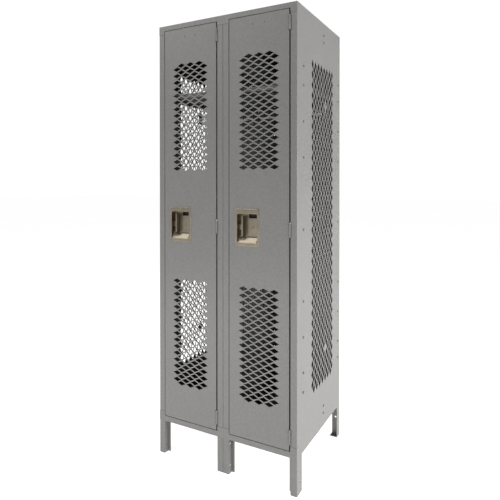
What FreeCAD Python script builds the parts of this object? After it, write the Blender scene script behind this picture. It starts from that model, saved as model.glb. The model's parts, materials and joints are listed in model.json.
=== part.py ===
import FreeCAD, Part
import math
import os

import Sketcher
from FreeCAD import Rotation, Vector

# Two-wide, single-tier ventilated steel locker on legs: two lockers side by side, each with its
# own door frame, door, hat shelf and coat rod, bolted to shared perforated side panels.
# Millimetres, +Z up. Origin on the floor, in the middle of the footprint; the doors face -Y.

doc = FreeCAD.newDocument("locker_cabinet")
sheet = doc.addObject("Spreadsheet::Sheet", "Sizes")

# name: (value, what it is)
SIZES = {
    "width": (610.0, "overall width of the two lockers"),
    "depth": (480.0, "front of the frames to the back panels"),
    "body_height": (1612.0, "underside of the body to the top"),
    "leg_height": (133.0, "floor to the underside of the body"),
    "frame_gauge": (1.5, "sheet of the door frames"),
    "frame_face": (26.0, "width of an upright's face"),
    "frame_return": (46.0, "depth of an upright's outer flange"),
    "strike_gap": (3.0, "back of a closed door to the strike"),
    "strike_width": (12.0, "width of the strike behind the door"),
    "lap_width": (24.0, "lap of a side panel over its upright"),
    "top_rail": (19.0, "face height of a top rail"),
    "bottom_rail": (21.0, "face height of a bottom rail"),
    "rail_margin": (0.5, "back of the strike to the rear edge of a rail's outer flange"),
    "top_tab": (34.0, "height of a top rail's end tabs"),
    "bottom_tab": (39.0, "height of a bottom rail's end tabs"),
    "side_gauge": (1.5, "sheet of the side panels"),
    "panel_gauge": (1.2, "sheet of the top, bottom, back and shelf"),
    "panel_flange": (18.0, "turned-down edges of top, bottom and shelf"),
    "back_flange": (38.0, "forward-turned edges of a back panel"),
    "door_gauge": (2.0, "sheet of a door"),
    "door_depth": (19.0, "depth of a door's turned edges"),
    "door_lip": (12.0, "inward lip of a door's long edges"),
    "door_gap": (2.5, "gap round a door"),
    "hinge_gap": (5.0, "gap on a door's hinge side"),
    "door_long_pitch": (42.5, "doors: diamond pitch across"),
    "door_short_pitch": (26.5, "doors: diamond pitch up and down"),
    "door_diamond_long": (38.5, "doors: width of a diamond hole"),
    "door_diamond_short": (18.2, "doors: height of a diamond hole"),
    "field_end": (138.0, "doors: end of the door to the diamonds"),
    "side_long_pitch": (39.2, "side panels: diamond pitch up and down"),
    "side_short_pitch": (32.0, "side panels: diamond pitch across"),
    "side_diamond_long": (37.0, "side panels: height of a diamond hole"),
    "side_diamond_short": (22.0, "side panels: width of a diamond hole"),
    "side_end": (160.0, "side panels: least plain height at each end"),
    "plate_spacing": (48.0, "between the two number plate holes"),
    "plate_drop": (32.0, "door top to the number plate holes"),
    "plate_hole": (2.0, "radius of a number plate hole"),
    "cup_width": (102.0, "handle cup flange width"),
    "cup_height": (140.0, "handle cup flange height"),
    "cup_side": (8.0, "flange beside the cup's mouth"),
    "cup_top": (18.0, "flange above the cup's mouth"),
    "cup_foot": (12.0, "flange below the cup's mouth"),
    "cup_depth": (26.0, "depth of the cup behind the door's face"),
    "cup_gauge": (1.0, "sheet of the handle cup"),
    "cup_slope": (20.0, "rise of the cup's sloping floor"),
    "ramp_depth": (15.0, "depth of the slope before the floor levels out"),
    "cup_corner": (9.0, "corner radius of the cup's flange"),
    "mouth_corner": (8.0, "corner radius of the cup's mouth"),
    "cup_inset": (25.0, "door's latch edge to the cup's flange"),
    "cup_lift": (3.0, "cup's middle above the door's middle"),
    "latch_travel": (9.0, "lift of the latch"),
    "bar_gauge": (2.5, "thickness of the latch bar"),
    "bar_depth": (11.0, "depth of the latch bar"),
    "bar_end": (30.0, "door's end to the end of the latch bar"),
    "finger_reach": (8.0, "latch bar to the tip of a finger"),
    "finger_height": (9.0, "height of a finger"),
    "finger_depth": (4.5, "depth of a finger"),
    "hook_height": (12.0, "height of a frame hook"),
    "hook_gauge": (3.0, "thickness of a frame hook"),
    "hook_plate": (2.5, "plate that carries a frame hook"),
    "hook_end": (190.0, "door's end to the hook nearest it"),
    "hook_drop": (130.0, "middle of the door to the middle hook"),
    "arm_half": (10.0, "half the height of the lift's arm"),
    "blade_inset": (20.0, "cup mouth's edge to the lift's blade"),
    "channel_width": (14.0, "flange of the angle beside the latch bar"),
    "channel_gauge": (1.2, "sheet of that angle and of the stiffener"),
    "stiffener_inset": (37.0, "door's hinge edge to the stiffener"),
    "hinge_length": (50.4, "length of a hinge barrel"),
    "hinge_inset": (49.0, "door's end to the middle of a hinge"),
    "barrel_radius": (4.5, "outside radius of a hinge barrel"),
    "pin_radius": (2.4, "radius of a hinge pin"),
    "pin_clearance": (0.05, "radial clearance of a hinge pin"),
    "leaf_gauge": (1.5, "sheet of a hinge leaf"),
    "leaf_depth": (17.0, "depth of a hinge leaf"),
    "knuckle_gap": (0.2, "gap between knuckles"),
    "shelf_rise": (528.0, "middle of the body to the top of the shelf"),
    "bolt_one": (260.0, "first bolts above and below the middle"),
    "bolt_two": (390.0, "second bolts above and below the middle"),
    "bolt_three": (519.0, "third bolts, the upper ones in the shelf"),
    "bolt_four": (590.0, "fourth bolts above and below the middle"),
    "bolt_inset": (12.0, "side panel's front edge to its bolts"),
    "rear_inset": (25.0, "back face to the rear bolts"),
    "tie_drop_one": (50.0, "end of the body to the first tie bolts"),
    "tie_drop_two": (79.0, "end of the body to the second tie bolts"),
    "tie_setback": (10.0, "side panel's middle to the tie bolts"),
    "tie_tab_width": (40.0, "width of the tabs that the tie bolts hold"),
    "shank_radius": (3.0, "radius of a bolt's shank"),
    "shank_clearance": (0.3, "radial clearance of a bolt's hole"),
    "head_radius": (5.6, "radius of a bolt's head"),
    "head_height": (2.6, "height of a bolt's head"),
    "nut_radius": (5.8, "corner radius of a nut"),
    "nut_height": (4.0, "height of a nut"),
    "rear_leg_flange": (32.0, "flange of a rear leg"),
    "rear_leg_gauge": (2.0, "thickness of a rear leg"),
    "foot_depth": (30.0, "depth of a rear leg's foot plate"),
    "leg_hole": (3.8, "radius of the holes in a leg"),
    "rod_radius": (9.5, "radius of the coat rod"),
    "rod_drop": (29.0, "bracket bolt to the middle of the rod"),
    "bracket_gauge": (2.0, "plate of a rod bracket"),
    "rod_clearance": (0.4, "radial clearance of the rod in its bracket"),
    "bend_radius": (2.4, "outside radius of the frames' bends"),
}


class Size:
    """A length, and the expression that gives it from the sheet."""

    def __init__(self, value, text):
        self.value = value
        self.text = text

    def __add__(self, other):
        other = as_size(other)
        return Size(self.value + other.value, f"({self.text} + {other.text})")

    def __sub__(self, other):
        other = as_size(other)
        return Size(self.value - other.value, f"({self.text} - {other.text})")

    def __mul__(self, other):
        other = as_size(other)
        return Size(self.value * other.value, f"({self.text} * {other.text})")

    def __truediv__(self, other):
        other = as_size(other)
        return Size(self.value / other.value, f"({self.text} / {other.text})")

    def __radd__(self, other):
        return as_size(other) + self

    def __rsub__(self, other):
        return as_size(other) - self

    def __rmul__(self, other):
        return as_size(other) * self

    def __neg__(self):
        return self * -1


def as_size(number):
    if isinstance(number, Size):
        return number
    return Size(float(number), f"({float(number)})")


def fill_sheet():
    for row, (name, (value, meaning)) in enumerate(SIZES.items(), start=1):
        sheet.set(f"A{row}", meaning)
        sheet.set(f"B{row}", str(value))
        sheet.setAlias(f"B{row}", name)
    doc.recompute()


def size(name):
    return Size(float(sheet.get(name)), f"Sizes.{name}")


fill_sheet()

# Driving places. x runs across, y back from the doors, z up.
width = size("width")
depth = size("depth")
gauge = size("frame_gauge")
face = size("frame_face")
side_gauge = size("side_gauge")
panel_gauge = size("panel_gauge")
door_gauge = size("door_gauge")
locker_width = width / 2
bottom = size("leg_height")
top = bottom + size("body_height")
middle = bottom + size("body_height") / 2
# half the hinge barrels stands proud of the doors, and the origin is midway over all
front = -(depth / 2) + size("barrel_radius") / 2
back = front + depth
web = size("door_depth") + size("strike_gap")
rail_return = web + gauge + size("rail_margin")
strike_front = front + web
strike_back = strike_front + gauge
panel_front = front + size("frame_return")
side_centre = (panel_front + back) / 2
bolt_y = panel_front + size("bolt_inset")
rear_bolt_y = back - size("rear_inset")

door_bottom = bottom + size("bottom_rail") + size("door_gap")
door_top = top - size("top_rail") - size("door_gap")
door_middle = (door_bottom + door_top) / 2
door_width = locker_width - face * 2 - size("door_gap") - size("hinge_gap")
pan_back = front + size("door_depth")
bar_back = pan_back - door_gauge - 1  # the latch bar runs just in front of the door's lip
bar_front = bar_back - size("bar_depth")
finger_back = bar_back - 0.5
finger_front = finger_back - size("finger_depth")
shelf_top = middle + size("shelf_rise")
bolt_reach = size("shank_radius") + size("shank_clearance")
tie_y = side_centre + size("tie_setback")
tray_shift = gauge  # trays stand clear of the uprights' laps by one gauge

BOLT_RISES = [as_size(0)]
for bolt_name in ("bolt_one", "bolt_two", "bolt_three", "bolt_four"):
    BOLT_RISES += [size(bolt_name), -size(bolt_name)]
TIE_HEIGHTS = [top - size("tie_drop_one"), top - size("tie_drop_two"),
               bottom + size("tie_drop_one"), bottom + size("tie_drop_two")]

SIDES = ("left", "right")
# the locker that each rear leg is bolted under, its corner, and which way it faces
REAR_LEGS = [(0, -(width / 2), -1), (0, as_size(0), 1), (1, width / 2, 1)]
NOTCH_MARGIN = 1.5
NOTCH_CLEARANCE = 0.2
RUN_GAP = 1.0  # clearance between pieces that slide or swing past each other
CUP_CLEARANCE = 0.5
RIVET_RADIUS = 2.0
DOOR_ROWS = 32  # rows of diamonds in each of a door's two fields
SIDE_COLUMNS = 15
PLAIN_COLUMN = 9  # column of the side panels' two plain spots
PLAIN_ROWS = 12.25  # rows from the middle of a side panel to a plain spot
TAB_SEAM = 1.0  # line between a rail's tab and the upright's face
WINDOW_SIDE = 4  # edge of the cup's mouth to the window in its back
WINDOW_HEIGHT = 15
LAP_LEAD = 6  # how far an upright's lap reaches in front of the side panel
LAP_END = 30  # the lap stops this far short of the body's ends
LEG_HOLE_DROPS = (20, 103)  # holes in a leg's web, below the body
ANCHOR_HOLE_DROPS = (58, 88)  # holes in a leg's outer flange, below the body
ANCHOR_SETBACK = 21  # side panel's front edge to the anchor holes
ALONG_X = Rotation(Vector(1, 1, 1), 120)  # a body's x, y, z become y, z, x
NODES = []


# ---------------------------------------------------------------- building helpers


def bind(thing, property_name, length):
    setattr(thing, property_name, length.value)
    thing.setExpression(property_name, length.text)


def place(thing, x, y, z, turn=None):
    x, y, z = as_size(x), as_size(y), as_size(z)
    if turn is None:
        turn = Rotation()
    thing.Placement = FreeCAD.Placement(Vector(x.value, y.value, z.value), turn)
    thing.setExpression("Placement.Base.x", x.text)
    thing.setExpression("Placement.Base.y", y.text)
    thing.setExpression("Placement.Base.z", z.text)
    return thing


def box(x0, x1, y0, y1, z0, z1, name="block"):
    x0, x1, y0, y1, z0, z1 = (as_size(edge) for edge in (x0, x1, y0, y1, z0, z1))
    block = doc.addObject("Part::Box", name)
    bind(block, "Length", x1 - x0)
    bind(block, "Width", y1 - y0)
    bind(block, "Height", z1 - z0)
    return place(block, x0, y0, z0)


def span_box(a, b, y0, y1, z0, z1, name="block"):
    """A box between two x places given in either order."""
    a, b = as_size(a), as_size(b)
    if a.value > b.value:
        a, b = b, a
    return box(a, b, y0, y1, z0, z1, name)


def cylinder(radius, length, x, y, z, turn=None, name="round"):
    rod = doc.addObject("Part::Cylinder", name)
    bind(rod, "Radius", as_size(radius))
    bind(rod, "Height", as_size(length))
    return place(rod, x, y, z, turn)


def fuse(parts, name="joined"):
    joined = doc.addObject("Part::MultiFuse", name)
    joined.Shapes = parts
    joined.Refine = True
    return joined


def cut(base, tools, name="trimmed"):
    if len(tools) > 1:
        tool = doc.addObject("Part::Compound", "cutters")
        tool.Links = tools
    else:
        tool = tools[0]
    trimmed = doc.addObject("Part::Cut", name)
    trimmed.Base = base
    trimmed.Tool = tool
    return trimmed


def feature(shape, name="piece"):
    piece = doc.addObject("Part::Feature", name)
    piece.Shape = shape
    piece.Placement = FreeCAD.Placement()
    return piece


def node(thing, label):
    """Hand a finished sub-part its name."""
    thing.Label = label
    NODES.append((label, thing))
    return thing


def pad(points, length, name="section"):
    """A body: a closed outline in its own XY plane, padded along its Z."""
    body = doc.addObject("PartDesign::Body", name)
    sketch = body.newObject("Sketcher::SketchObject", "outline")
    plane = next(f for f in body.Origin.OriginFeatures if f.Role == "XY_Plane")
    sketch.AttachmentSupport = [(plane, "")]
    sketch.MapMode = "FlatFace"
    points = [(as_size(x), as_size(y)) for x, y in points]
    corners = [Vector(x.value, y.value, 0) for x, y in points]
    count = len(corners)
    for index, corner in enumerate(corners):
        sketch.addGeometry(Part.LineSegment(corner, corners[(index + 1) % count]), False)
    for index in range(count):
        following = (index + 1) % count
        sketch.addConstraint(Sketcher.Constraint("Coincident", index, 2, following, 1))
    for index, (x, y) in enumerate(points):
        for kind, axis, coordinate in (("DistanceX", -2, x), ("DistanceY", -1, y)):
            if abs(coordinate.value) < 1e-9:
                sketch.addConstraint(Sketcher.Constraint("PointOnObject", index, 1, axis))
                continue
            number = sketch.addConstraint(
                Sketcher.Constraint(kind, -1, 1, index, 1, coordinate.value)
            )
            sketch.setExpression(f"Constraints[{number}]", coordinate.text)
    solid = body.newObject("PartDesign::Pad", "thickness")
    solid.Profile = sketch
    bind(solid, "Length", as_size(length))
    body.Tip = solid
    return body


def round_edges(body, wanted, radius, name="bends"):
    """Fillet the edges of a body's tip that the test picks out."""
    doc.recompute()
    tip = body.Tip
    picked = [
        f"Edge{number}"
        for number, edge in enumerate(tip.Shape.Edges, start=1)
        if wanted(edge)
    ]
    bends = body.newObject("PartDesign::Fillet", name)
    bends.Base = (tip, picked)
    bind(bends, "Radius", radius)
    body.Tip = bends
    return body


def channel(face_width, web, strike, flange, sign=1):
    """Outline of a frame member: outer flange, face, web and strike.

    x runs from the outer edge towards the opening, y runs back from the face.
    """
    outline = [
        (0, 0),
        (face_width, 0),
        (face_width, web),
        (face_width + strike, web),
        (face_width + strike, web + gauge),
        (face_width - gauge, web + gauge),
        (face_width - gauge, gauge),
        (gauge, gauge),
        (gauge, flange),
        (0, flange),
    ]
    return [(as_size(x) * sign, y) for x, y in outline]


def diamond(centre, long_axis, short_axis, long_half, short_half):
    tips = [
        centre + long_axis * long_half,
        centre + short_axis * short_half,
        centre - long_axis * long_half,
        centre - short_axis * short_half,
    ]
    return Part.makePolygon(tips + tips[:1])


def circle(centre, normal, radius):
    return Part.Wire(Part.makeCircle(radius, centre, normal))


def punched(outline, holes, thickness):
    """A sheet: a flat outline with holes, given its thickness."""
    sheet_face = Part.makeFace([outline] + holes, "Part::FaceMakerBullseye")
    return sheet_face.extrude(thickness)


def rectangle(corners):
    return Part.makePolygon(corners + corners[:1])


# ---------------------------------------------------------------- fasteners


def bolt(at, outwards, grip):
    """A round-headed bolt and its nut; the head's seat is at `at`."""
    outwards = Vector(outwards)
    seat = Vector(at)
    head = Part.makeCone(
        size("head_radius").value,
        size("head_radius").value * 0.55,
        size("head_height").value,
        seat,
        outwards,
    )
    end = seat - outwards * grip
    nut_height = size("nut_height").value
    shank = Part.makeCylinder(
        size("shank_radius").value, grip + nut_height, end - outwards * nut_height, outwards
    )
    turn = Rotation(Vector(0, 0, 1), -outwards)
    corners = []
    for corner in range(6):
        angle = math.radians(60 * corner)
        spoke = Vector(math.cos(angle), math.sin(angle), 0) * size("nut_radius").value
        corners.append(end + turn.multVec(spoke))
    nut = Part.Face(rectangle(corners)).extrude(-outwards * nut_height)
    return head.fuse([shank, nut]).removeSplitter()


def drill(at, direction, reach):
    """A clearance hole for a bolt, `reach` long each way."""
    direction = Vector(direction)
    return Part.makeCylinder(
        bolt_reach.value, 2 * reach, Vector(at) - direction * reach, direction
    )


def bolt_group(bolts, label):
    node(feature(Part.makeCompound(bolts)), label)


def drilled(base, places, direction, reach):
    holes = [drill(at, direction, reach) for at in places]
    return cut(base, [feature(Part.makeCompound(holes), "drill")])


def rivet(at, outwards, grip, head_radius=3.6):
    """A low-headed rivet; the head's seat is at `at`."""
    outwards = Vector(outwards)
    head = Part.makeCone(head_radius, head_radius * 0.6, 1.2, at, outwards)
    shank = Part.makeCylinder(RIVET_RADIUS - 0.02, grip + 1, at, -outwards)
    tail = Part.makeCylinder(head_radius - 0.4, 1.0, at - outwards * grip, -outwards)
    return head.fuse([shank, tail]).removeSplitter()


def side_bolts(label, seat_x, sign, stacks):
    """Bolts through a side panel and what laps it, nuts inside the locker.

    stacks gives the thickness held, and how far the seat stands out, at the uprights,
    at the back panel, at the shelf and tie tabs, and at the rod bracket.
    """
    shelf_rise = size("bolt_three").value
    bolts = []
    for y, kind in ((bolt_y, "upright"), (rear_bolt_y, "back")):
        for rise in BOLT_RISES:
            name = "tray" if abs(rise.value - shelf_rise) < 1e-6 else kind
            bolts.append((y.value, (middle + rise).value, name))
    bolts += [(tie_y.value, height.value, "tray") for height in TIE_HEIGHTS]
    spot = bracket_spot(0)
    bolts.append((spot.y, spot.z, "bracket"))
    group = []
    for y, z, name in bolts:
        proud, grip = stacks[name]
        at = Vector(seat_x + sign * proud, y, z)
        group.append(bolt(at, (sign, 0, 0), grip))
    bolt_group(group, label)


def all_side_bolts():
    side, upright, sheet_gauge = side_gauge.value, gauge.value, panel_gauge.value
    bracket = size("bracket_gauge").value
    tray_stack = tray_shift.value + sheet_gauge
    inside = {"upright": upright, "back": sheet_gauge, "tray": tray_stack, "bracket": bracket}
    outer = {name: (0.0, side + held) for name, held in inside.items()}
    shared = {name: (held, side + 2 * held) for name, held in inside.items()}
    side_bolts("left_side_bolts", -(width.value / 2), -1, outer)
    side_bolts("right_side_bolts", width.value / 2, 1, outer)
    side_bolts("partition_bolts", side / 2, 1, shared)


def small_fasteners():
    seats = [(-(width.value / 2), -1), (width.value / 2, 1)]
    rivets = [
        rivet(Vector(x, y.value, z.value), (sign, 0, 0), gauge.value)
        for x, sign in seats
        for y, z in corner_rivet_places()
    ]
    bolt_group(rivets, "corner_rivets")
    grip = panel_gauge.value + size("rear_leg_gauge").value
    bolts = []
    for owner, corner, sign in REAR_LEGS:
        x, y, z = (edge.value for edge in leg_bolt_place(corner, sign))
        bolts.append(bolt(Vector(x, y, bottom.value + panel_gauge.value), (0, 0, 1), grip))
    bolt_group(bolts, "leg_bolts")


# ---------------------------------------------------------------- frames


def frame_upright(side, role, x_outer, sign, lap_shift, hinge_side):
    """An upright with its leg; sign is +1 where the opening lies towards +x."""
    body = pad(channel(face, web, size("strike_width"), size("frame_return"), sign), top)
    corner_x = (0.0, sign * face.value)

    def bend(edge):
        upright = abs(edge.tangentAt(edge.FirstParameter).z) > 0.99
        at = edge.Vertexes[0].Point
        return upright and abs(at.y) < 0.01 and min(abs(at.x - x) for x in corner_x) < 0.01

    round_edges(body, bend, size("bend_radius"))
    place(body, x_outer, front, 0)

    lap_x = x_outer + sign * lap_shift
    lap = span_box(lap_x, lap_x + sign * gauge, panel_front - LAP_LEAD,
                   panel_front + size("lap_width"), bottom + LAP_END, top - LAP_END, "lap")
    solid = fuse([body, lap])

    inner = x_outer + sign * face
    notch_out = x_outer - sign * 1
    cutters = [
        span_box(notch_out, inner + sign * 1, front - 1, front + gauge,
                 bottom, bottom + size("bottom_tab") + TAB_SEAM, "tab_notch"),
        span_box(notch_out, inner + sign * 1, front - 1, front + gauge,
                 top - size("top_tab") - TAB_SEAM, top + 1, "tab_notch"),
        span_box(x_outer + sign * gauge, inner + sign * (size("strike_width") + 1), front - 1,
                 front + rail_return + 1, top - gauge, top + 1, "cap_notch"),
    ]
    if hinge_side:
        notch_x = inner - sign * (size("barrel_radius") - size("hinge_gap") / 2 + RUN_GAP * 2)
        for centre in hinge_heights():
            half = size("hinge_length") / 2 + NOTCH_MARGIN
            cutters.append(
                span_box(notch_x, inner + sign * 1, front - 1,
                         front + size("barrel_radius") + NOTCH_MARGIN,
                         centre - half, centre + half, "barrel_notch")
            )
    along_x = Rotation(Vector(0, 1, 0), 90)
    hole_y = front + web / 2
    for drop in LEG_HOLE_DROPS:
        cutters.append(cylinder(size("leg_hole"), 8, inner - 4, hole_y, bottom - drop,
                                along_x, "leg_hole"))
    for drop in ANCHOR_HOLE_DROPS:
        cutters.append(cylinder(size("leg_hole"), 8, x_outer - 4, panel_front - ANCHOR_SETBACK,
                                bottom - drop, along_x, "anchor_hole"))
    outer = lap_shift.value == side_gauge.value
    if outer:
        for y, z in corner_rivet_places():
            cutters.append(cylinder(RIVET_RADIUS, 8, x_outer - 4, y, z, along_x, "rivet_hole"))
    solid = cut(solid, cutters)
    places = [Vector(lap_x.value, bolt_y.value, (middle + rise).value) for rise in BOLT_RISES]
    node(drilled(solid, places, (1, 0, 0), 6), f"{side}_frame_{role}_upright")


def corner_rivet_places():
    return [(front + 12.5, top - 14), (front + 28, top - 33), (front + 12.5, bottom + 40)]


def frame_rail(side, role, x_left, level, sign, face_height, tab_height):
    """A rail between two uprights, with tabs that close the frame's corners.

    sign is -1 for a top rail, whose face hangs down from its outer edge and whose outer
    flange runs on over the uprights.
    """
    strike = size("strike_width")
    inset = face + strike
    length = locker_width - inset * 2
    outline = channel(face_height, web, strike, rail_return, sign)
    body = pad([(y, x) for x, y in outline], length)
    place(body, x_left + inset, front, level, ALONG_X)
    parts = [body]
    for edge, towards in ((x_left, 1), (x_left + locker_width, -1)):
        for reach, height in ((inset, face_height), (face, tab_height)):
            tab_end = level + sign * height
            low, high = (tab_end, level) if sign < 0 else (level, tab_end)
            parts.append(span_box(edge, edge + towards * reach, front, front + gauge,
                                  low, high, "tab"))
        if sign < 0:
            parts.append(span_box(edge + towards * gauge, edge + towards * inset, front,
                                  front + rail_return, level - gauge, level, "cap"))
    node(fuse(parts), f"{side}_frame_{role}_rail")


def hinge_heights():
    inset = size("hinge_inset")
    return [door_bottom + inset, door_middle, door_top - inset]


def hook_heights():
    """Where a latch hook catches: near both ends and in the middle of the door."""
    end = size("hook_end")
    return [door_bottom + end, door_middle - size("hook_drop"), door_top - end]


# ---------------------------------------------------------------- casing


def side_holes(x, direction):
    """Diamonds and bolt holes of a side panel, with its long diagonals upright."""
    long_pitch, short_pitch = size("side_long_pitch").value, size("side_short_pitch").value
    long_half = size("side_diamond_long").value / 2
    short_half = size("side_diamond_short").value / 2
    columns = SIDE_COLUMNS
    rows = 2 * int((size("body_height").value / 2 - size("side_end").value) / long_pitch)
    plain = {(PLAIN_COLUMN, rows // 2 - 13), (PLAIN_COLUMN, rows // 2 + 12)}
    holes = []
    for column in range(columns):
        y = side_centre.value + (column - (columns - 1) / 2) * short_pitch / 2
        for row in range(rows):
            if (column, row) in plain:
                continue
            drop = (row + 0.5 * (column % 2) - (rows - 0.5) / 2) * long_pitch
            centre = Vector(x, y, middle.value - drop)
            holes.append(diamond(centre, Vector(0, 0, 1), Vector(0, 1, 0),
                                 long_half, short_half))
    spots = side_bolt_places(x) + [bracket_spot(x)]
    holes += [circle(at, direction, bolt_reach.value) for at in spots]
    return holes


def side_bolt_places(x):
    places = [
        Vector(x, y.value, (middle + rise).value)
        for y in (bolt_y, rear_bolt_y)
        for rise in BOLT_RISES
    ]
    return places + [Vector(x, tie_y.value, height.value) for height in TIE_HEIGHTS]


def bracket_spot(x):
    """The plain spot in a side panel that takes a rod bracket's bolt."""
    columns_back = PLAIN_COLUMN - (SIDE_COLUMNS - 1) / 2
    y = side_centre.value + columns_back * size("side_short_pitch").value / 2
    z = middle.value + PLAIN_ROWS * size("side_long_pitch").value
    return Vector(x, y, z)


def side_panel(label, x_low):
    x = x_low.value
    corners = [
        Vector(x, panel_front.value, bottom.value),
        Vector(x, back.value, bottom.value),
        Vector(x, back.value, top.value),
        Vector(x, panel_front.value, top.value),
    ]
    holes = side_holes(x, Vector(1, 0, 0))
    panel = punched(rectangle(corners), holes, Vector(side_gauge.value, 0, 0))
    node(feature(panel, "side_sheet"), label)


def inner_span(index):
    """The clear width of a locker between its side panels."""
    left = -(width / 2) + side_gauge if index == 0 else side_gauge / 2
    right = -(side_gauge / 2) if index == 0 else width / 2 - side_gauge
    return left, right


def tray(label, index, level, flange_sign, y0, y1, is_shelf=False):
    """A flat sheet with four turned edges: a top, a bottom or a shelf."""
    inner_left, inner_right = inner_span(index)
    left, right = inner_left + tray_shift, inner_right - tray_shift
    shift = panel_gauge * flange_sign
    low, high = (level, level + shift) if flange_sign > 0 else (level + shift, level)
    reach = level + size("panel_flange") * flange_sign
    flange_low, flange_high = (level, reach) if flange_sign > 0 else (reach, level)
    parts = [
        box(left, right, y0, y1, low, high, "sheet"),
        box(left, left + panel_gauge, y0, y1, flange_low, flange_high, "flange"),
        box(right - panel_gauge, right, y0, y1, flange_low, flange_high, "flange"),
        box(left, right, y0, y0 + panel_gauge, flange_low, flange_high, "flange"),
        box(left, right, y1 - panel_gauge, y1, flange_low, flange_high, "flange"),
    ]
    if is_shelf:
        height = (middle + size("bolt_three")).value
        places = [
            Vector(x.value, y.value, height)
            for x in (left, right)
            for y in (bolt_y, rear_bolt_y)
        ]
        return node(drilled(fuse(parts), places, (1, 0, 0), 4), label)

    tab_reach = level + (size("tie_drop_two") + 12) * flange_sign
    tab_low, tab_high = (level, tab_reach) if flange_sign > 0 else (tab_reach, level)
    half_tab = size("tie_tab_width") / 2
    for x0, x1 in ((inner_left, left + panel_gauge), (right - panel_gauge, inner_right)):
        parts.append(box(x0, x1, tie_y - half_tab, tie_y + half_tab, tab_low, tab_high, "tab"))
    places = [
        Vector(x.value, tie_y.value, (level + size(drop) * flange_sign).value)
        for x in (left, right)
        for drop in ("tie_drop_one", "tie_drop_two")
    ]
    solid = drilled(fuse(parts), places, (1, 0, 0), 4)
    if flange_sign > 0:
        holes = [
            cylinder(bolt_reach, 10, *leg_bolt_place(corner, sign), name="leg_bolt_hole")
            for owner, corner, sign in REAR_LEGS
            if owner == index
        ]
        solid = cut(solid, holes)
    return node(solid, label)


def back_panel(side, index):
    left, right = inner_span(index)
    reach = back - size("back_flange")
    low, high = bottom, top
    parts = [
        box(left, right, back - panel_gauge, back, low, high, "sheet"),
        box(left, left + panel_gauge, reach, back, low, high, "flange"),
        box(right - panel_gauge, right, reach, back, low, high, "flange"),
    ]
    places = [
        Vector(x.value, rear_bolt_y.value, (middle + rise).value)
        for x in (left, right)
        for rise in BOLT_RISES
    ]
    node(drilled(fuse(parts), places, (1, 0, 0), 4), f"{side}_back_panel")


def rear_leg(label, x_corner, sign):
    """An angle leg inside a rear corner, with its foot turned forward."""
    leg_gauge, flange = size("rear_leg_gauge"), size("rear_leg_flange")
    outline = [
        (0, 0),
        (-sign * flange, 0),
        (-sign * flange, -leg_gauge),
        (-sign * leg_gauge, -leg_gauge),
        (-sign * leg_gauge, -flange),
        (0, -flange),
    ]
    body = pad(outline, bottom)
    place(body, x_corner, back, 0)
    plates = [
        span_box(x_corner - sign * flange, x_corner - sign * leg_gauge,
                 back - size("foot_depth"), back - leg_gauge, low, low + leg_gauge, "foot")
        for low in (as_size(0), bottom - leg_gauge)
    ]
    across = x_corner - sign * (flange / 2)
    hole = cylinder(size("leg_hole"), 10, across, back + 3, bottom / 2 + 8,
                    Rotation(Vector(1, 0, 0), 90), "leg_hole")
    bolt_hole = cylinder(bolt_reach, 10, *leg_bolt_place(x_corner, sign), name="bolt_hole")
    node(cut(fuse([body] + plates), [hole, bolt_hole]), label)


def leg_bolt_place(x_corner, sign):
    """Underside of the bolt that holds a rear leg to a bottom sheet."""
    return (x_corner - sign * (size("rear_leg_flange") / 2 + 2),
            back - size("foot_depth") / 2 - 2, bottom - 5)



def rod_bracket(x, sign):
    """A plate on a side panel with a socket for the end of the coat rod."""
    spot = bracket_spot(0)
    bracket_gauge = size("bracket_gauge").value
    rod = size("rod_radius").value
    clearance = size("rod_clearance").value
    drop = size("rod_drop").value
    half_width = rod + 3.0
    across = Vector(sign, 0, 0)
    base = Vector(x, 0, 0)
    rod_centre = base + Vector(0, spot.y, spot.z - drop)
    corners = [
        base + Vector(0, spot.y + dy, spot.z + dz)
        for dy, dz in ((-half_width, -drop), (half_width, -drop), (half_width, 8), (-half_width, 8))
    ]
    plate = Part.Face(rectangle(corners)).extrude(across * bracket_gauge)
    disc = Part.makeCylinder(half_width, bracket_gauge, rod_centre, across)
    ring = Part.makeCylinder(half_width, 12.0, rod_centre, across)
    bore = Part.makeCylinder(rod + clearance, 12.0, rod_centre + across * bracket_gauge, across)
    hole = drill(base + Vector(0, spot.y, spot.z), (1, 0, 0), 6)
    return plate.fuse([disc, ring]).cut(Part.makeCompound([bore, hole])).removeSplitter()


def coat_rod(side, index):
    left, right = inner_span(index)
    brackets = [rod_bracket(left.value, 1), rod_bracket(right.value, -1)]
    node(feature(Part.makeCompound(brackets), "brackets"), f"{side}_rod_brackets")
    end_gap = size("bracket_gauge") + 0.3
    spot = bracket_spot(0)
    body = doc.addObject("PartDesign::Body", "rod_body")
    sketch = body.newObject("Sketcher::SketchObject", "outline")
    plane = next(f for f in body.Origin.OriginFeatures if f.Role == "XY_Plane")
    sketch.AttachmentSupport = [(plane, "")]
    sketch.MapMode = "FlatFace"
    sketch.addGeometry(Part.Circle(Vector(0, 0, 0), Vector(0, 0, 1), size("rod_radius").value))
    sketch.addConstraint(Sketcher.Constraint("Coincident", 0, 3, -1, 1))
    sketch.addConstraint(Sketcher.Constraint("Radius", 0, size("rod_radius").value))
    sketch.setExpression("Constraints[1]", "Sizes.rod_radius")
    solid = body.newObject("PartDesign::Pad", "length")
    solid.Profile = sketch
    bind(solid, "Length", right - left - end_gap * 2)
    body.Tip = solid
    place(body, left + end_gap, spot.y, spot.z - size("rod_drop"), ALONG_X)
    node(body, f"{side}_coat_rod")


# ---------------------------------------------------------------- doors


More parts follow.
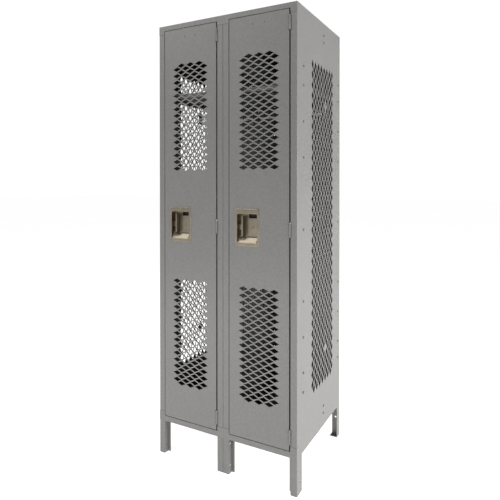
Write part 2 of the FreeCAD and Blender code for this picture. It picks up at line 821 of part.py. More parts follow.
class Door:
    """Places of one locker's door."""

    def __init__(self, index):
        self.side = SIDES[index]
        self.locker_left = -(width / 2) + locker_width * index
        self.locker_right = self.locker_left + locker_width
        self.left = self.locker_left + face + size("door_gap")
        self.right = self.left + door_width
        self.centre = (self.locker_left + self.locker_right) / 2
        self.axis_x = self.right + size("hinge_gap") / 2
        self.leaf_x = self.right - door_gauge - size("leaf_gauge")
        self.notch_x = self.leaf_x - NOTCH_CLEARANCE
        self.cup_left = self.left + size("cup_inset")
        self.cup_right = self.cup_left + size("cup_width")
        self.cup_centre = self.cup_left + size("cup_width") / 2
        self.cup_middle = door_middle + size("cup_lift")
        self.cup_low = self.cup_middle - size("cup_height") / 2
        self.cup_high = self.cup_middle + size("cup_height") / 2
        self.mouth_left = self.cup_left + size("cup_side")
        self.mouth_right = self.cup_right - size("cup_side")
        self.mouth_low = self.cup_low + size("cup_foot")
        self.mouth_high = self.cup_high - size("cup_top")
        self.rivet_heights = [self.cup_low + size("cup_foot") / 2,
                              self.cup_high - size("cup_top") / 2]
        self.bar_left = self.left + door_gauge + RUN_GAP
        self.bar_right = self.bar_left + size("bar_gauge")
        self.finger_tip = self.bar_right + size("finger_reach")
        self.blade_x = self.mouth_left + size("blade_inset")
        self.arm_low = self.cup_middle - size("arm_half")
        self.arm_high = self.cup_middle + size("arm_half")


def door_outline(door):
    """The door's front sheet, notched round its hinge barrels."""
    y = front.value
    right = door.right.value
    notch_x = door.notch_x.value
    corners = [(door.left.value, door_bottom.value), (right, door_bottom.value)]
    for centre in hinge_heights():
        half = size("hinge_length").value / 2 + NOTCH_MARGIN
        low, high = centre.value - half, centre.value + half
        corners += [(right, low), (notch_x, low), (notch_x, high), (right, high)]
    corners += [(right, door_top.value), (door.left.value, door_top.value)]
    return rectangle([Vector(x, y, z) for x, z in corners])


def door_holes(door):
    y = front.value
    long_pitch, short_pitch = size("door_long_pitch").value, size("door_short_pitch").value
    long_half = size("door_diamond_long").value / 2
    short_half = size("door_diamond_short").value / 2
    rows = DOOR_ROWS
    half_field = (rows - 1) / 2 * short_pitch / 2 + short_half
    offset = (door_top - door_middle - size("field_end")).value - half_field
    holes = []
    for sign in (1, -1):
        field = door_middle.value + sign * offset
        for row in range(rows):
            columns = 3 + row % 2
            z = field + sign * ((rows - 1) / 2 - row) * short_pitch / 2
            for column in range(columns):
                x = door.centre.value + (column - (columns - 1) / 2) * long_pitch
                holes.append(diamond(Vector(x, y, z), Vector(1, 0, 0), Vector(0, 0, 1),
                                     long_half, short_half))
    along_y = Vector(0, 1, 0)
    plate_z = (door_top - size("plate_drop")).value
    for sign in (-1, 1):
        x = door.centre.value + sign * size("plate_spacing").value / 2
        holes.append(circle(Vector(x, y, plate_z), along_y, size("plate_hole").value))
    for height in door.rivet_heights:
        at = Vector(door.cup_centre.value, y, height.value)
        holes.append(circle(at, along_y, RIVET_RADIUS))
    reach = size("cup_gauge").value + CUP_CLEARANCE
    left, right = door.mouth_left.value - reach, door.mouth_right.value + reach
    low, high = door.mouth_low.value - reach, door.mouth_high.value + reach
    holes.append(rectangle([Vector(left, y, low), Vector(right, y, low),
                            Vector(right, y, high), Vector(left, y, high)]))
    return holes


def door_pan(door):
    sheet_shape = punched(door_outline(door), door_holes(door),
                          Vector(0, door_gauge.value, 0))
    lip = size("door_lip")
    lip_front = pan_back - door_gauge
    inside = front + door_gauge / 2
    parts = [
        feature(sheet_shape, "front_sheet"),
        box(door.left, door.left + door_gauge, front, pan_back, door_bottom, door_top, "edge"),
        box(door.right - door_gauge, door.right, front, pan_back, door_bottom, door_top, "edge"),
        box(door.left, door.right, inside, pan_back, door_bottom, door_bottom + door_gauge,
            "edge"),
        box(door.left, door.right, inside, pan_back, door_top - door_gauge, door_top, "edge"),
        box(door.left, door.left + lip, lip_front, pan_back, door_bottom, door_top, "lip"),
        box(door.right - lip, door.right, lip_front, pan_back, door_bottom, door_top, "lip"),
    ]
    cutters = []
    for centre in hinge_heights():
        half = size("hinge_length") / 2 + NOTCH_MARGIN
        cutters.append(box(door.notch_x, door.right + 1, front - 1,
                           front + size("barrel_radius") + 1, centre - half, centre + half,
                           "barrel_notch"))
    for height in hook_heights():
        cutters.append(box(door.bar_right + 3, door.left + lip + 1, lip_front - 1, pan_back + 1,
                           height - 4, height + size("hook_height") + 4, "hook_notch"))
    node(cut(fuse(parts), cutters), f"{door.side}_door_panel")


def arm_slot(door, x, y_room):
    """Clearance for the lift's arm to slide in, through a wall at x."""
    return box(x - 3, x + 3, finger_front - y_room, finger_back + y_room, door.arm_low - 2,
               door.arm_high + 2 + size("latch_travel"), "arm_slot")


def latch_channel(door):
    """An angle behind the latch edge that guards the latch bar."""
    wall = size("channel_gauge")
    reach = size("door_depth") - door_gauge
    flange = size("channel_width")
    corner = door.mouth_left - size("cup_gauge") - 2
    low, high = door_bottom + door_gauge, door_top - door_gauge
    outline = [
        (0, 0),
        (0, reach),
        (-flange, reach),
        (-flange, reach - wall),
        (-wall, reach - wall),
        (-wall, 0),
    ]
    body = pad(outline, high - low)
    place(body, corner, pan_back - reach, low)
    node(cut(body, [arm_slot(door, corner, RUN_GAP)]), f"{door.side}_latch_channel")


def door_stiffener(door):
    """A hat channel up the hinge side, behind the plain margin of the door."""
    wall = size("channel_gauge")
    x = door.right - size("stiffener_inset")
    low, high = door_bottom + door_gauge + 4, door_top - door_gauge - 4
    brim, crown = 6, 10
    hat_left, hat_right = as_size(brim), brim + crown + wall
    hat_back = size("door_depth") - door_gauge - 2
    outline = [
        (0, 0),
        (hat_left, 0),
        (hat_left, hat_back - wall),
        (hat_right - wall, hat_back - wall),
        (hat_right - wall, 0),
        (hat_right + brim, 0),
        (hat_right + brim, wall),
        (hat_right, wall),
        (hat_right, hat_back),
        (hat_left - wall, hat_back),
        (hat_left - wall, wall),
        (0, wall),
    ]
    body = pad(outline, high - low)
    place(body, x, front + door_gauge, low)
    node(body, f"{door.side}_door_stiffener")


def frame_hooks(door):
    """Three hooks on the strike that the latch fingers drop behind."""
    edge = door.locker_left + face + size("strike_width")
    thick, plate = size("hook_gauge"), size("hook_plate")
    nose_back = finger_front - RUN_GAP
    nose_front = nose_back - thick
    hooks = []
    for height in hook_heights():
        arm = box(edge, edge + thick, nose_front, strike_back + plate, height, height + 5, "arm")
        nose = box(edge, edge + thick, nose_front, nose_back,
                   height, height + size("hook_height"), "nose")
        base = box(edge - 10, edge + thick, strike_back, strike_back + plate,
                   height - 10, height + 22, "base")
        hooks.append(fuse([arm, nose, base]))
    group = doc.addObject("Part::Compound", "hooks")
    group.Links = hooks
    node(group, f"{door.side}_frame_hooks")


def latch_bar(door):
    """The bar that slides in the door's edge, with a finger over each hook."""
    low = door_bottom + size("bar_end")
    high = door_top - size("bar_end") - size("latch_travel")
    parts = [box(door.bar_left, door.bar_right, bar_front, bar_back, low, high, "bar")]
    for height in hook_heights():
        seat = height + size("hook_height") + RUN_GAP
        parts.append(box(door.bar_right, door.finger_tip, finger_front, finger_back,
                         seat, seat + size("finger_height"), "finger"))
    node(fuse(parts), f"{door.side}_latch_bar")


def lift_handle(door):
    """The finger lift in the cup: an arm from the latch bar, a blade and a padlock lug."""
    blade_x = door.blade_x
    low = door.mouth_low + size("cup_slope") + RUN_GAP * 3
    high = door.mouth_high - size("latch_travel") - RUN_GAP
    cup_back = front + size("cup_depth") - size("cup_gauge")
    arm = box(door.bar_right, blade_x, finger_back - 2.5, finger_back,
              door.arm_low, door.arm_high, "arm")
    blade = box(blade_x, blade_x + 2, front + 3, cup_back - RUN_GAP, low, high, "blade")
    grip = box(blade_x - 2, blade_x + 3, front + 3, front + 5, low, high, "grip")
    lug = box(blade_x - 10, blade_x, front + 1.5, front + 12, low, low + 2, "lug")
    lug_hole = cylinder(3.2, 6, blade_x - 5, front + 7, low - 2, name="lug_hole")
    node(cut(fuse([arm, blade, grip, lug]), [lug_hole]), f"{door.side}_lift_handle")


def cup_block(door, grow, y_start):
    """The cup's inside, or its outside where it is grown by the sheet."""
    slope = size("cup_slope")
    deep = size("cup_depth") - size("cup_gauge") + grow
    height = door.mouth_high - door.mouth_low
    outline = [
        (0, -as_size(grow)),
        (size("ramp_depth"), slope - RUN_GAP - grow),
        (deep, slope - grow),
        (deep, height + grow),
        (y_start, height + grow),
    ]
    if y_start < 0:
        outline.append((y_start, -as_size(grow)))
    body = pad(outline, size("cup_width") - size("cup_side") * 2 + as_size(grow) * 2)

    def runs_inwards(edge):
        start, end = (point.Point for point in edge.Vertexes)
        along = start - end
        tall = size("cup_slope").value
        top_edge = min(start.y, end.y) > height.value - tall and abs(along.x) > 1
        ramp = abs(along.x) > 1 and abs(along.y) > 1 and max(start.y, end.y) < tall + 1
        return abs(along.z) < 1e-6 and (top_edge or ramp)

    round_edges(body, runs_inwards, size("mouth_corner") + grow, "corners")
    return place(body, door.mouth_left - grow, front, door.mouth_low, ALONG_X)


def handle_cup(door):
    cup_gauge = size("cup_gauge")
    shell = cup_block(door, cup_gauge, 0)
    hollow = cup_block(door, as_size(0), -5)
    flange = box(door.cup_left, door.cup_right, front - cup_gauge, front,
                 door.cup_low, door.cup_high, "flange")
    doc.recompute()
    rounded = doc.addObject("Part::Fillet", "rounded_flange")
    rounded.Base = flange
    corners = [
        number
        for number, edge in enumerate(flange.Shape.Edges, start=1)
        if abs(edge.tangentAt(edge.FirstParameter).y) > 0.9
    ]
    radius = size("cup_corner").value
    rounded.Edges = [(number, radius, radius) for number in corners]
    cup_back = front + size("cup_depth")
    cutters = [
        hollow,
        arm_slot(door, door.mouth_left, RUN_GAP),
        box(door.blade_x + 18, door.mouth_right - WINDOW_SIDE, cup_back - 3, cup_back + 3,
            door.mouth_high - WINDOW_SIDE - WINDOW_HEIGHT, door.mouth_high - WINDOW_SIDE,
            "window"),
    ]
    for height in door.rivet_heights:
        cutters.append(cylinder(RIVET_RADIUS, 6, door.cup_centre, front + 3, height,
                                Rotation(Vector(1, 0, 0), 90), "rivet_hole"))
    node(cut(fuse([shell, rounded]), cutters), f"{door.side}_handle_cup")


def lock_cover(door):
    """The plate over the spare lock hole in the back of the cup, with its boss and rivets."""
    plate_back = front + size("cup_depth") - size("cup_gauge")
    low = door.mouth_low + size("cup_slope") + 2
    high = door.mouth_high - WINDOW_SIDE - WINDOW_HEIGHT - 3
    x0, x1 = door.blade_x + 6, door.mouth_right - size("mouth_corner")
    plate = box(x0, x1, plate_back - 1.5, plate_back, low, high, "plate")
    toward = Rotation(Vector(1, 0, 0), 90)
    centre_x = (x0 + x1) / 2
    boss = cylinder(6.5, 1.5, centre_x, plate_back - 1.5, (low + high) / 2, toward, "boss")
    hollow = cylinder(4.5, 2, centre_x, plate_back - 2.0, (low + high) / 2, toward, "hollow")
    rivets = [
        cylinder(2.4, 1.2, centre_x, plate_back - 1.5, height, toward, "rivet")
        for height in (low + 8, high - 8)
    ]
    node(cut(fuse([plate, boss] + rivets), [hollow]), f"{door.side}_lock_cover")


def cup_rivets(door):
    seat_y = (front - size("cup_gauge")).value
    grip = (size("cup_gauge") + door_gauge).value
    rivets = [
        rivet(Vector(door.cup_centre.value, seat_y, height.value), (0, -1, 0), grip)
        for height in door.rivet_heights
    ]
    bolt_group(rivets, f"{door.side}_cup_rivets")


def hinges(door):
    """Three five-knuckle hinges: a frame leaf, a door leaf and a pin in each."""
    gap = size("knuckle_gap")
    knuckle = (size("hinge_length") - gap * 4) / 5
    radius, leaf_gauge = size("barrel_radius"), size("leaf_gauge")
    axis_x, axis_y = door.axis_x, front
    neck_back = axis_y + radius + 0.3
    leaf_back = axis_y + size("leaf_depth")
    frame_x = axis_x + size("hinge_gap") / 2 + gauge
    groups = {"frame_leaves": [], "door_leaves": [], "hinge_pins": []}
    for centre in hinge_heights():
        low = centre - size("hinge_length") / 2
        high = low + size("hinge_length")
        for kind, leaf_x, first in (("frame_leaves", frame_x, 0), ("door_leaves", door.leaf_x, 1)):
            plate_low = low if first == 0 else low + knuckle + gap
            plate_high = high if first == 0 else high - knuckle - gap
            parts = [box(leaf_x, leaf_x + leaf_gauge, neck_back, leaf_back,
                         plate_low, plate_high, "leaf")]
            wall = radius - 1.5
            neck_in = axis_x + wall if first == 0 else axis_x - wall
            neck_out = leaf_x + leaf_gauge if first == 0 else leaf_x
            for number in range(first, 5, 2):
                start = low + (knuckle + gap) * number
                parts.append(cylinder(radius, knuckle, axis_x, axis_y, start, name="knuckle"))
                parts.append(span_box(neck_in, neck_out, axis_y, neck_back,
                                      start, start + knuckle, "neck"))
            bore = cylinder(size("pin_radius") + size("pin_clearance"),
                            size("hinge_length") + 4, axis_x, axis_y, low - 2, name="bore")
            groups[kind].append(cut(fuse(parts), [bore]))
        head = cylinder(radius - 1, 1.2, axis_x, axis_y, high, name="pin_head")
        pin = cylinder(size("pin_radius"), size("hinge_length"), axis_x, axis_y, low,
                       name="pin")
        groups["hinge_pins"].append(fuse([pin, head]))
    for kind, members in groups.items():
        group = doc.addObject("Part::Compound", kind)
        group.Links = members
        name = kind if kind == "hinge_pins" else f"hinge_{kind}"
        node(group, f"{door.side}_{name}")


def door_bumpers(door):
    """Rubber buttons on the strike that silence the door."""
    x = door.locker_left + face + 5
    length = size("strike_gap") - 0.3
    buttons = []
    for height in (door_bottom + 90, door_middle + 60, door_top - 90):
        buttons.append(cylinder(4, length, x, strike_front, height,
                                Rotation(Vector(1, 0, 0), 90), "button"))
    group = doc.addObject("Part::Compound", "buttons")
    group.Links = buttons
    node(group, f"{door.side}_door_bumpers")


# ---------------------------------------------------------------- assembly


def lockers():
    for index, side in enumerate(SIDES):
        door = Door(index)
        outer_shift, inner_shift = side_gauge, side_gauge / 2
        left_shift = outer_shift if index == 0 else inner_shift
        right_shift = inner_shift if index == 0 else outer_shift
        frame_upright(side, "latch", door.locker_left, 1, left_shift, False)
        frame_upright(side, "hinge", door.locker_right, -1, right_shift, True)
        frame_rail(side, "top", door.locker_left, top, -1, size("top_rail"), size("top_tab"))
        frame_rail(side, "bottom", door.locker_left, bottom, 1, size("bottom_rail"),
                   size("bottom_tab"))
        tray_front = front + rail_return
        tray_back = back - panel_gauge
        tray(f"{side}_top_sheet", index, top, -1, tray_front, tray_back)
        tray(f"{side}_bottom_sheet", index, bottom, 1, tray_front, tray_back)
        tray(f"{side}_hat_shelf", index, shelf_top, -1, strike_back + 3, tray_back,
             is_shelf=True)
        back_panel(side, index)
        coat_rod(side, index)
        door_pan(door)
        latch_channel(door)
        door_stiffener(door)
        frame_hooks(door)
        latch_bar(door)
        lift_handle(door)
        handle_cup(door)
        lock_cover(door)
        cup_rivets(door)
        hinges(door)
        door_bumpers(door)


def rear_legs():
    names = ("left_rear_leg", "middle_rear_leg", "right_rear_leg")
    for label, (owner, corner, sign) in zip(names, REAR_LEGS):
        rear_leg(label, corner, sign)


def casing():
    side_panel("left_side_panel", -(width / 2))
    side_panel("middle_partition", -(side_gauge / 2))
    side_panel("right_side_panel", width / 2 - side_gauge)


def write_parts():
    doc.recompute()
    for thing in doc.Objects:
        if "Invalid" in thing.State or "Error" in thing.State:
            raise RuntimeError(f"{thing.Label}: {thing.State}")
    for label, thing in NODES:
        if thing.Shape.isNull() or not thing.Shape.isValid():
            raise RuntimeError(f"{label}: bad shape")
    os.makedirs("parts", exist_ok=True)
    for label, thing in NODES:
        thing.Shape.exportStep(f"parts/{label}.step")
        print(label, len(thing.Shape.Solids), round(thing.Shape.Volume))


casing()
rear_legs()
lockers()
all_side_bolts()
small_fasteners()
write_parts()
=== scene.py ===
import json
import math

import bmesh
import bpy
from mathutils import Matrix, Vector


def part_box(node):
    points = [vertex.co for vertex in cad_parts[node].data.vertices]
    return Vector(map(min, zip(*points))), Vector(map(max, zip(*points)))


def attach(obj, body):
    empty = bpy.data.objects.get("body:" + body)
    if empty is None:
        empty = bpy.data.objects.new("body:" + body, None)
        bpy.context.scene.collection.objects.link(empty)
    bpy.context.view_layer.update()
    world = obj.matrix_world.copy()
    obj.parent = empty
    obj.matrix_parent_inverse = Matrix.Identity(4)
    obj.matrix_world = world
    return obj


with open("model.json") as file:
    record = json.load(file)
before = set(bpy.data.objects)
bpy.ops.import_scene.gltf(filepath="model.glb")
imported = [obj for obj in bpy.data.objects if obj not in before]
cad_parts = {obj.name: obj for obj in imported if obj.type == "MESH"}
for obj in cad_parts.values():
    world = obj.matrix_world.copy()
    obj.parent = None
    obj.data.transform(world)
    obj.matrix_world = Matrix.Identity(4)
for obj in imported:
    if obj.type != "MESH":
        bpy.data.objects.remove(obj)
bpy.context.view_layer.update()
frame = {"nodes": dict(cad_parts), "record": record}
millimetre = 0.001
doorSides = ("left", "right")


# camera, floor and light

viewpoint = {
    "place": (0.9503, -1.7837, 1.1103),
    "turnLeft": 28.32,      # degrees from looking straight back
    "lookDown": 0.44,
    "focalLength": 34.26,
    "riseShift": -0.128,
    "sensor": (28, 36),     # a portrait sensor, framed by its height
}


def setCamera():
    data = bpy.data.cameras.new("camera")
    data.sensor_fit = "VERTICAL"
    data.sensor_width, data.sensor_height = viewpoint["sensor"]
    data.lens = viewpoint["focalLength"]
    data.shift_y = viewpoint["riseShift"]
    camera = bpy.data.objects.new("camera", data)
    camera.location = viewpoint["place"]
    camera.rotation_euler = (
        math.radians(90 - viewpoint["lookDown"]), 0, math.radians(viewpoint["turnLeft"])
    )
    bpy.context.collection.objects.link(camera)
    bpy.context.scene.camera = camera


studio = {
    "floorSize": 60.0,
    "floorGlow": 0.80,
    "backdrop": 1.03,      # what the camera sees past the locker
    "skyStrength": 0.28,   # what lights it
    "sideLight": {"place": (3.4, 0.3, 0.9), "aim": (0.3, 0.1, 0.5), "size": (2.6, 1.6),
                  "watts": 120},
    "frontLight": {"place": (-1.3, -1.3, 3.0), "aim": (0, -0.2, 0.95), "size": (1.7, 1.7),
                   "watts": 27},
    "lowLight": {"place": (-0.3, -1.5, 0.2), "aim": (0, 0, 0.1), "size": (1.8, 0.3), "watts": 6},
    "topLight": {"place": (0.2, 0.2, 3.6), "aim": (0, 0, 1), "size": (2.5, 2.5), "watts": 30},
}


def aimLight(name, settings):
    data = bpy.data.lights.new(name, "AREA")
    data.shape = "RECTANGLE"
    data.size, data.size_y = settings["size"]
    data.energy = settings["watts"]
    lamp = bpy.data.objects.new(name, data)
    lamp.location = settings["place"]
    towards = Vector(settings["aim"]) - lamp.location
    lamp.rotation_euler = towards.to_track_quat("-Z", "Y").to_euler()
    bpy.context.collection.objects.link(lamp)


def paleWorld():
    world = bpy.data.worlds.new("studio")
    world.use_nodes = True
    nodes, links = world.node_tree.nodes, world.node_tree.links
    sky, backdrop = nodes["Background"], nodes.new("ShaderNodeBackground")
    for shader, strength in ((sky, studio["skyStrength"]), (backdrop, studio["backdrop"])):
        shader.inputs["Color"].default_value = (1, 1, 1, 1)
        shader.inputs["Strength"].default_value = strength
    path, mix = nodes.new("ShaderNodeLightPath"), nodes.new("ShaderNodeMixShader")
    links.new(path.outputs["Is Camera Ray"], mix.inputs["Fac"])
    links.new(sky.outputs["Background"], mix.inputs[1])
    links.new(backdrop.outputs["Background"], mix.inputs[2])
    links.new(mix.outputs["Shader"], nodes["World Output"].inputs["Surface"])
    return world


def setStudio(floorCoat):
    mesh = bpy.data.meshes.new("floor")
    shape = bmesh.new()
    bmesh.ops.create_grid(shape, x_segments=1, y_segments=1, size=studio["floorSize"] / 2)
    shape.to_mesh(mesh)
    shape.free()
    floor = bpy.data.objects.new("floor", mesh)
    mesh.materials.append(floorCoat)
    bpy.context.collection.objects.link(floor)
    bpy.context.scene.world = paleWorld()
    for name in ("sideLight", "frontLight", "lowLight", "topLight"):
        aimLight(name, studio[name])
    bpy.context.scene.view_settings.view_transform = "Standard"


# shader helpers

class Signal:
    def __init__(self, shader, socket):
        self.shader = shader
        self.socket = socket

    def math(self, operation, other, swap=False):
        pair = (other, self) if swap else (self, other)
        return self.shader.add("ShaderNodeMath", {"operation": operation}, pair)

    def __add__(self, other):
        return self.math("ADD", other)

    def __radd__(self, other):
        return self.math("ADD", other)

    def __sub__(self, other):
        return self.math("SUBTRACT", other)

    def __rsub__(self, other):
        return self.math("SUBTRACT", other, swap=True)

    def __mul__(self, other):
        return self.math("MULTIPLY", other)

    def __rmul__(self, other):
        return self.math("MULTIPLY", other)

    def __truediv__(self, other):
        return self.math("DIVIDE", other)

    def __rtruediv__(self, other):
        return self.math("DIVIDE", other, swap=True)


class Finish:
    def __init__(self, name, **constants):
        self.material = bpy.data.materials.new(name)
        self.material.use_nodes = True
        self.tree = self.material.node_tree
        self.surface = self.tree.nodes["Principled BSDF"]
        for socketName, value in constants.items():
            self.surface.inputs[socketName.replace("_", " ")].default_value = value
        self.place = self.add("ShaderNodeTexCoord", output="Object")

    def add(self, kind, settings=None, inputs=(), output=0):
        node = self.tree.nodes.new(kind)
        for setting, value in (settings or {}).items():
            if setting == "stops":
                self.setStops(node.color_ramp, value)
            else:
                setattr(node, setting, value)
        pairs = inputs.items() if isinstance(inputs, dict) else enumerate(inputs)
        for key, value in pairs:
            self.feed(node.inputs[key], value)
        return Signal(self, node.outputs[output])

    def setStops(self, ramp, stops):
        while len(ramp.elements) < len(stops):
            ramp.elements.new(0.5)
        for element, (position, shade) in zip(ramp.elements, stops):
            element.position = position
            element.color = (shade, shade, shade, 1)

    def feed(self, socket, value):
        if isinstance(value, Signal):
            self.tree.links.new(value.socket, socket)
        else:
            socket.default_value = value

    def noise(self, scale, detail=3.0, roughness=0.5, stretch=(1, 1, 1)):
        where = self.add("ShaderNodeMapping", None, {"Vector": self.place, "Scale": stretch})
        return self.add("ShaderNodeTexNoise", None, {
            "Vector": where, "Scale": scale, "Detail": detail, "Roughness": roughness,
        })

    def ramp(self, signal, stops):
        return self.add("ShaderNodeValToRGB", {"stops": stops}, {"Fac": signal})

    def colour(self, value):
        return value if isinstance(value, Signal) else (*value, 1)

    def tint(self, amount, dark, light):
        return self.add("ShaderNodeMix", {"data_type": "RGBA"},
                        {"Factor": amount, 6: self.colour(dark), 7: self.colour(light)}, output=2)

    def bump(self, height, strength, distance):
        return self.add("ShaderNodeBump", None, {
            "Height": height, "Strength": strength, "Distance": distance,
        })

    def wear(self, **links):
        for socketName, signal in links.items():
            self.feed(self.surface.inputs[socketName.replace("_", " ")], signal)
        return self.material


# finishes

paint = {
    "dark": (0.142, 0.140, 0.135),
    "light": (0.204, 0.201, 0.193),
    "grainScale": 420,
    "peelScale": 700,
    "patchScale": 3.2,
    "speckScale": 150,
    "grainShare": 0.45,    # how far each pattern tints the coat
    "patchShare": 0.25,
    "speckShare": 0.30,
    "roughness": 0.40,
    "gloss": 0.10,         # weight of the clear coat
    "peelDepth": 0.0004,   # metres
    "peelStrength": 0.22,
    "paintedInnerShade": 0.20,    # painted shade: how much darker the inside is painted than the outside
    "outerSkin": 0.0014,   # metres of sheet that count as outside
    "frontShadeDepth": 0.022,    # the painted shade deepens over this depth behind the front
}


def insideShadeMask(coat):
    # painted shade mask: 0 on the body's outer skin, 1 deep inside it, where the coat is painted
    # darker to stand in for shade
    low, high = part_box("left_side_panel")
    floor, roof = low.z + paint["outerSkin"], high.z - paint["outerSkin"]
    front, back = low.y, high.y - paint["outerSkin"]
    halfWidth = -low.x - paint["outerSkin"]
    x, y, z = (coat.add("ShaderNodeSeparateXYZ", None, [coat.place], output=axis)
               for axis in range(3))
    between = (x.math("LESS_THAN", halfWidth) * x.math("GREATER_THAN", -halfWidth)
               * z.math("LESS_THAN", roof) * z.math("GREATER_THAN", floor)
               * y.math("LESS_THAN", back))
    deep = ((y - front) / paint["frontShadeDepth"]).math("MINIMUM", 1.0).math("MAXIMUM", 0.0)
    return between * deep


def enamelFinish(name):
    coat = Finish(name, IOR=1.45, Coat_Roughness=0.35)
    grain = coat.noise(paint["grainScale"], detail=2.0)
    patches = coat.noise(paint["patchScale"], detail=2.0)
    specks = coat.ramp(coat.noise(paint["speckScale"], detail=1.0), [(0.36, 0.0), (0.64, 1.0)])
    blend = (paint["grainShare"] * grain + paint["patchShare"] * patches
             + paint["speckShare"] * specks)
    outside = coat.tint(blend, paint["dark"], paint["light"])
    # painted shade: deep inside the body the coat is coloured darker, rougher and without its
    # clear coat, to stand in for the shade inside the lockers
    paintedShade = [paint["paintedInnerShade"] * shade for shade in paint["dark"]]
    inside = insideShadeMask(coat)
    peel = coat.noise(paint["peelScale"], detail=1.0)
    return coat.wear(
        Base_Color=coat.tint(inside, outside, paintedShade),
        Roughness=paint["roughness"] + 0.10 * grain + 0.06 * patches + 0.2 * inside,
        Coat_Weight=(paint["gloss"] + 0.06 * patches) * (1 - inside),
        Normal=coat.bump(peel + 0.5 * specks, paint["peelStrength"], paint["peelDepth"]),
    )


pressedSteel = {
    "dark": (0.16, 0.133, 0.094),
    "light": (0.36, 0.322, 0.256),
    "brushScale": 90,
    "smudgeScale": 28,
    "scuffScale": 160,
    "brushShare": 0.55,
    "smudgeShare": 0.45,
    "roughness": 0.24,
}


def stainlessFinish(name):
    metal = Finish(name, Metallic=1.0)
    brushed = metal.noise(pressedSteel["brushScale"], detail=4.0, stretch=(1, 1, 9))
    smudges = metal.noise(pressedSteel["smudgeScale"], detail=3.0)
    scuffs = metal.ramp(metal.noise(pressedSteel["scuffScale"], detail=5.0, roughness=0.65),
                        [(0.50, 0.0), (0.72, 1.0)])
    blend = pressedSteel["brushShare"] * brushed + pressedSteel["smudgeShare"] * smudges
    return metal.wear(
        Base_Color=metal.tint(blend, pressedSteel["dark"], pressedSteel["light"]),
        Roughness=pressedSteel["roughness"] + 0.20 * smudges + 0.12 * scuffs,
        Normal=metal.bump(brushed + 0.4 * scuffs, 0.10, 0.0003),
    )


zinc = {
    "dark": (0.50, 0.50, 0.50),
    "light": (0.80, 0.80, 0.79),
    "spangleScale": 240,
    "hazeScale": 60,
}


def zincFinish(name):
    metal = Finish(name, Metallic=1.0)
    spangle = metal.add("ShaderNodeTexVoronoi", {"feature": "F1"},
                        {"Vector": metal.place, "Scale": zinc["spangleScale"]}, output="Distance")
    haze = metal.noise(zinc["hazeScale"], detail=3.0)
    return metal.wear(
        Base_Color=metal.tint(0.5 * spangle + 0.5 * haze, zinc["dark"], zinc["light"]),
        Roughness=0.22 + 0.18 * haze,
        Normal=metal.bump(haze, 0.08, 0.0002),
    )


darkSteel = {"dark": (0.085, 0.082, 0.078), "light": (0.130, 0.127, 0.120), "hazeScale": 90}


def darkSteelFinish(name):
    metal = Finish(name, Metallic=0.6)
    haze = metal.noise(darkSteel["hazeScale"], detail=3.0)
    return metal.wear(
        Base_Color=metal.tint(haze, darkSteel["dark"], darkSteel["light"]),
        Roughness=0.42 + 0.16 * haze,
        Normal=metal.bump(haze, 0.08, 0.0002),
    )


rubber = {"dark": (0.012, 0.012, 0.012), "dusty": (0.035, 0.034, 0.033), "dustScale": 220}


def rubberFinish(name):
    skin = Finish(name, Specular_IOR_Level=0.35)
    dust = skin.noise(rubber["dustScale"], detail=3.0)
    return skin.wear(
        Base_Color=skin.tint(dust, rubber["dark"], rubber["dusty"]),
        Roughness=0.70 + 0.18 * dust,
        Normal=skin.bump(dust, 0.3, 0.0002),
    )


def floorFinish(name):
    skin = Finish(name, Roughness=0.85, Emission_Strength=studio["floorGlow"])
    mottle = skin.noise(1.2, detail=2.0)
    white = skin.tint(mottle, (0.90, 0.90, 0.90), (0.93, 0.93, 0.93))
    return skin.wear(Base_Color=white, Emission_Color=white)


finishes = {
    "gray_paint": enamelFinish("gray enamel"),
    "stainless": stainlessFinish("pressed stainless"),
    "zinc": zincFinish("zinc plate"),
    "dark_steel": darkSteelFinish("darkened steel"),
    "rubber": rubberFinish("black rubber"),
}
print("finishes made")


def dressNodes():
    slots = {part["node"]: part["material_slot"] for part in frame["record"]["subparts"]}
    for name, thing in frame["nodes"].items():
        thing.data.materials.clear()
        thing.data.materials.append(finishes[slots[name]])


# handle cup trim

cupTrim = {
    "rimRadius": 1.7,       # millimetres
    "rimInset": 1.6,
    "rimSetback": 0.7,      # the bead's middle behind the flange's face
    "flangeCorner": 9.0,
    "mouthSide": 8.0,       # flange left and right of the mouth
    "mouthTop": 18.0,
    "mouthFoot": 12.0,
    "mouthCorner": 8.0,
    "lipRadius": 0.9,
    "lipSetback": 0.4,
    "roundness": 8,         # points round each corner and round the bead
}


def roundedOutline(left, right, low, high, radius):
    points = []
    corners = (
        (right - radius, high - radius, 0), (left + radius, high - radius, 90),
        (left + radius, low + radius, 180), (right - radius, low + radius, 270),
    )
    for x, z, start in corners:
        for step in range(cupTrim["roundness"] + 1):
            angle = math.radians(start + 90 * step / cupTrim["roundness"])
            points.append(Vector((x + radius * math.cos(angle), 0, z + radius * math.sin(angle))))
    return points


def bead(name, points, y, radius, body, slot):
    shape = bmesh.new()
    rings = []
    count, sides = len(points), 2 * cupTrim["roundness"]
    for index, point in enumerate(points):
        along = (points[(index + 1) % count] - points[index - 1]).normalized()
        outwards = Vector((along.z, 0, -along.x))
        ring = []
        for side in range(sides):
            angle = 2 * math.pi * side / sides
            offset = outwards * math.cos(angle) * radius + Vector((0, math.sin(angle) * radius, 0))
            ring.append(shape.verts.new((point + offset + Vector((0, y, 0))) * millimetre))
        rings.append(ring)
    for index in range(count):
        first, second = rings[index], rings[(index + 1) % count]
        for side in range(sides):
            after = (side + 1) % sides
            shape.faces.new((first[side], first[after], second[after], second[side]))
    bmesh.ops.recalc_face_normals(shape, faces=shape.faces)
    finishPiece(name, shape, body, slot)


def finishPiece(name, shape, body, slot):
    mesh = bpy.data.meshes.new(name)
    shape.to_mesh(mesh)
    shape.free()
    for polygon in mesh.polygons:
        polygon.use_smooth = True
    piece = bpy.data.objects.new(name, mesh)
    mesh.materials.append(finishes[slot])
    bpy.context.collection.objects.link(piece)
    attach(piece, body)


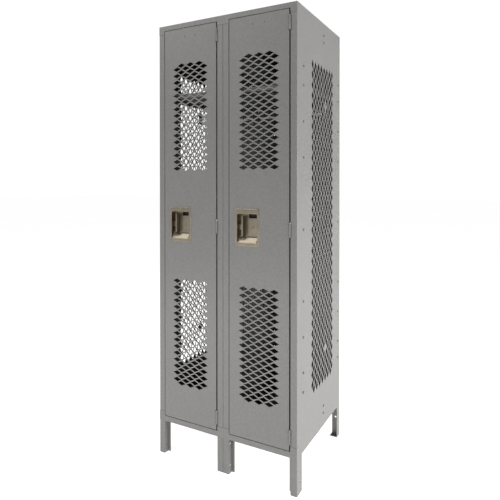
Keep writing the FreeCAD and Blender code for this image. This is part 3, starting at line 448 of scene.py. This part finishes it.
def trimCup(side):
    low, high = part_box(f"{side}_handle_cup")
    left, right = low.x / millimetre, high.x / millimetre
    foot, head = low.z / millimetre, high.z / millimetre
    face = low.y / millimetre
    inset = cupTrim["rimInset"]
    rim = roundedOutline(left + inset, right - inset, foot + inset, head - inset,
                         cupTrim["flangeCorner"] - inset)
    bead(f"{side}CupRim", rim, face + cupTrim["rimSetback"], cupTrim["rimRadius"],
         f"{side}_door", "stainless")
    lip = roundedOutline(left + cupTrim["mouthSide"], right - cupTrim["mouthSide"],
                         foot + cupTrim["mouthFoot"], head - cupTrim["mouthTop"],
                         cupTrim["mouthCorner"])
    bead(f"{side}CupLip", lip, face + cupTrim["lipSetback"], cupTrim["lipRadius"],
         f"{side}_door", "stainless")


# painted shade: a dark plate set behind each handle cup's window, standing in for the shade inside
# the latch channel
windowShadePlate = {
    "fromRight": 8.0,       # millimetres, cup's right edge to the shade plate
    "fromHead": 18.0,
    "width": 52.0,
    "height": 23.0,
    "depth": 9.0,
    "sheet": 0.8,
    "edge": 1.5,            # radius of the pressed corners
}


def shadeWindow(side):
    low, high = (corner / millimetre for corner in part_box(f"{side}_handle_cup"))
    reach, tall, deep = windowShadePlate["width"], windowShadePlate["height"], windowShadePlate["depth"]
    centre = Vector((high.x - windowShadePlate["fromRight"] - reach / 2, high.y + deep / 2,
                     high.z - windowShadePlate["fromHead"] - tall / 2))
    shape = bmesh.new()
    bmesh.ops.create_cube(shape, size=1)
    bmesh.ops.scale(shape, vec=(reach, deep, tall), verts=shape.verts)
    mouth = [face for face in shape.faces if face.normal.y < -0.5]
    bmesh.ops.delete(shape, geom=mouth, context="FACES_ONLY")
    pressed = [edge for edge in shape.edges if not edge.is_boundary]
    bmesh.ops.bevel(shape, geom=pressed, offset=windowShadePlate["edge"], segments=3, affect="EDGES",
                    profile=0.5, material=-1)
    bmesh.ops.solidify(shape, geom=shape.faces[:], thickness=windowShadePlate["sheet"])
    bmesh.ops.translate(shape, vec=centre, verts=shape.verts)
    bmesh.ops.scale(shape, vec=(millimetre,) * 3, verts=shape.verts)
    bmesh.ops.recalc_face_normals(shape, faces=shape.faces)
    # painted shade: the plate takes the black rubber finish so the window reads as shade
    finishPiece(f"{side}WindowShadePlate", shape, f"{side}_door", "rubber")


setCamera()
setStudio(floorFinish("pale floor"))
dressNodes()
print("frame dressed")
for side in doorSides:
    trimCup(side)
    shadeWindow(side)
print("handle cups trimmed")
